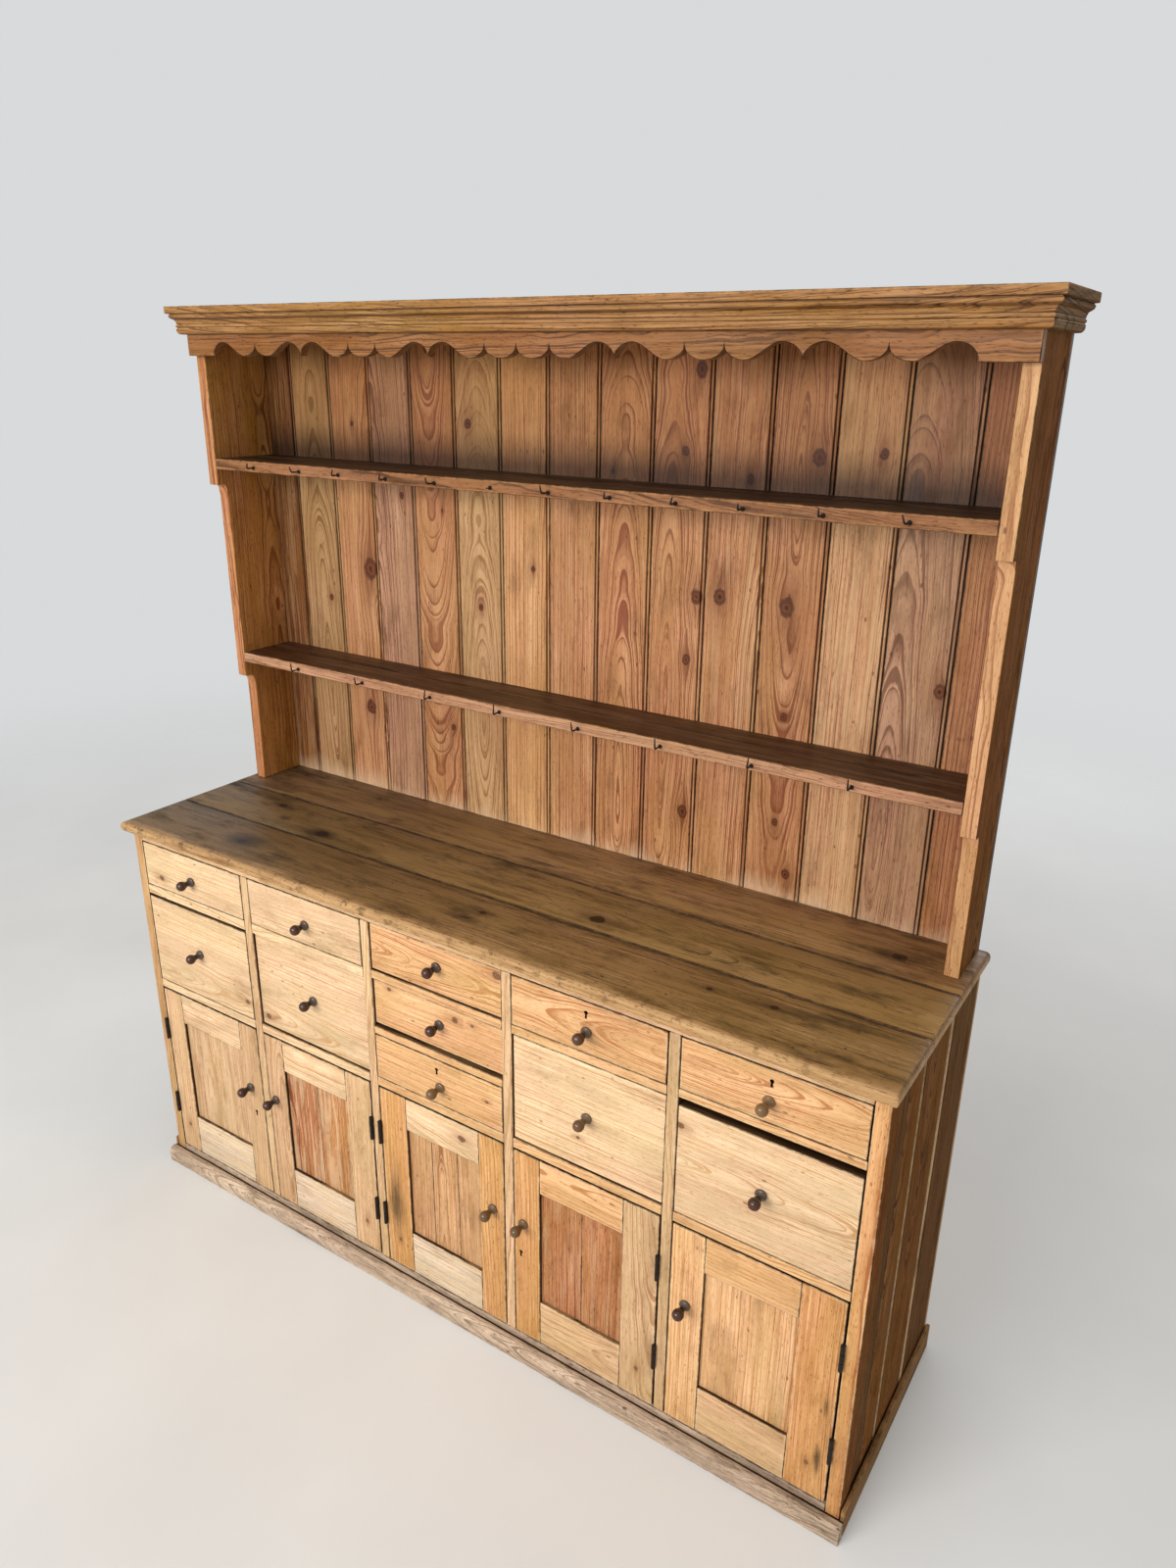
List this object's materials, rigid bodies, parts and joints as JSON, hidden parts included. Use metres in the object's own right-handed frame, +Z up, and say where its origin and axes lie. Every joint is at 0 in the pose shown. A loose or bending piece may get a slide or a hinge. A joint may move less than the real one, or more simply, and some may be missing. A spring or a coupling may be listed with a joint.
{
  "type": "kitchen dresser",
  "caption": "Pine kitchen dresser: a low base of drawers over panelled doors under a plank worktop, with an open plate rack, scalloped frieze and moulded cornice above.",
  "frame": {"origin": "on the floor, in the middle of the overall width and depth", "axes": "+X to the right of someone facing the front, +Y to the back, +Z up"},
  "size_m": [1.7226, 0.497, 1.92],
  "materials": {
    "base_pine": "worn, waxed",
    "worktop_pine": "stained, satin",
    "rack_pine": "waxed, satin",
    "panel_pine": "waxed, satin",
    "plinth_pine": "bleached, dry",
    "knob_wood": "polished"
  },
  "bodies": {
    "carcass": {"end_board_left": "base_pine", "end_board_right": "base_pine", "partition_1": "base_pine", "partition_2": "base_pine", "partition_3": "base_pine", "partition_4": "base_pine", "top_rail": "base_pine", "bottom_board": "base_pine", "base_back": "base_pine", "plinth": "plinth_pine", "worktop_front": "worktop_pine", "worktop_middle": "worktop_pine", "worktop_rear": "worktop_pine", "rack_end_left": "rack_pine", "rack_end_right": "rack_pine", "rack_back": "rack_pine", "rack_top": "rack_pine", "rack_shelf_lower": "rack_pine", "rack_shelf_upper": "rack_pine", "frieze": "rack_pine", "cornice_front": "rack_pine", "cornice_left": "rack_pine", "cornice_right": "rack_pine"},
    "drawer_1_upper": {"drawer_1_upper": "base_pine", "drawer_knob_1_upper": "knob_wood"},
    "drawer_1_lower": {"drawer_1_lower": "base_pine", "drawer_knob_1_lower": "knob_wood"},
    "drawer_2_upper": {"drawer_2_upper": "base_pine", "drawer_knob_2_upper": "knob_wood"},
    "drawer_2_lower": {"drawer_2_lower": "base_pine", "drawer_knob_2_lower": "knob_wood"},
    "drawer_3_upper": {"drawer_3_upper": "base_pine", "drawer_knob_3_upper": "knob_wood"},
    "drawer_3_middle": {"drawer_3_middle": "base_pine", "drawer_knob_3_middle": "knob_wood"},
    "drawer_3_lower": {"drawer_3_lower": "base_pine", "drawer_knob_3_lower": "knob_wood"},
    "drawer_4_upper": {"drawer_4_upper": "base_pine", "drawer_knob_4_upper": "knob_wood"},
    "drawer_4_lower": {"drawer_4_lower": "base_pine", "drawer_knob_4_lower": "knob_wood"},
    "drawer_5_upper": {"drawer_5_upper": "base_pine", "drawer_knob_5_upper": "knob_wood"},
    "drawer_5_lower": {"drawer_5_lower": "base_pine", "drawer_knob_5_lower": "knob_wood"},
    "door_1": {"door_frame_1": "base_pine", "door_panel_1": "panel_pine", "door_knob_1": "knob_wood"},
    "door_2": {"door_frame_2": "base_pine", "door_panel_2": "panel_pine", "door_knob_2": "knob_wood"},
    "door_3": {"door_frame_3": "base_pine", "door_panel_3": "panel_pine", "door_knob_3": "knob_wood"},
    "door_4": {"door_frame_4": "base_pine", "door_panel_4": "panel_pine", "door_knob_4": "knob_wood"},
    "door_5": {"door_frame_5": "base_pine", "door_panel_5": "panel_pine", "door_knob_5": "knob_wood"}
  },
  "joints": [
    {"name": "slide_1_upper", "type": "slide", "parent": "carcass", "child": "drawer_1_upper", "axis": [0, -1, 0], "range_m": [0, 0.33]},
    {"name": "slide_1_lower", "type": "slide", "parent": "carcass", "child": "drawer_1_lower", "axis": [0, -1, 0], "range_m": [0, 0.33]},
    {"name": "slide_2_upper", "type": "slide", "parent": "carcass", "child": "drawer_2_upper", "axis": [0, -1, 0], "range_m": [0, 0.33]},
    {"name": "slide_2_lower", "type": "slide", "parent": "carcass", "child": "drawer_2_lower", "axis": [0, -1, 0], "range_m": [0, 0.33]},
    {"name": "slide_3_upper", "type": "slide", "parent": "carcass", "child": "drawer_3_upper", "axis": [0, -1, 0], "range_m": [0, 0.33]},
    {"name": "slide_3_middle", "type": "slide", "parent": "carcass", "child": "drawer_3_middle", "axis": [0, -1, 0], "range_m": [0, 0.33]},
    {"name": "slide_3_lower", "type": "slide", "parent": "carcass", "child": "drawer_3_lower", "axis": [0, -1, 0], "range_m": [0, 0.33]},
    {"name": "slide_4_upper", "type": "slide", "parent": "carcass", "child": "drawer_4_upper", "axis": [0, -1, 0], "range_m": [0, 0.33]},
    {"name": "slide_4_lower", "type": "slide", "parent": "carcass", "child": "drawer_4_lower", "axis": [0, -1, 0], "range_m": [0, 0.33]},
    {"name": "slide_5_upper", "type": "slide", "parent": "carcass", "child": "drawer_5_upper", "axis": [0, -1, 0], "range_m": [0, 0.33]},
    {"name": "slide_5_lower", "type": "slide", "parent": "carcass", "child": "drawer_5_lower", "axis": [0, -1, 0], "range_m": [0, 0.33]},
    {"name": "swing_1", "type": "hinge", "parent": "carcass", "child": "door_1", "pos_m": [-0.816, -0.217, 0.277], "axis": [0, 0, -1], "range_deg": [0, 110]},
    {"name": "swing_2", "type": "hinge", "parent": "carcass", "child": "door_2", "pos_m": [-0.1773, -0.217, 0.277], "axis": [0, 0, 1], "range_deg": [0, 85]},
    {"name": "swing_3", "type": "hinge", "parent": "carcass", "child": "door_3", "pos_m": [-0.1538, -0.217, 0.277], "axis": [0, 0, -1], "range_deg": [0, 85]},
    {"name": "swing_4", "type": "hinge", "parent": "carcass", "child": "door_4", "pos_m": [0.4849, -0.217, 0.277], "axis": [0, 0, 1], "range_deg": [0, 110]},
    {"name": "swing_5", "type": "hinge", "parent": "carcass", "child": "door_5", "pos_m": [0.816, -0.217, 0.277], "axis": [0, 0, 1], "range_deg": [0, 110]}
  ]
}
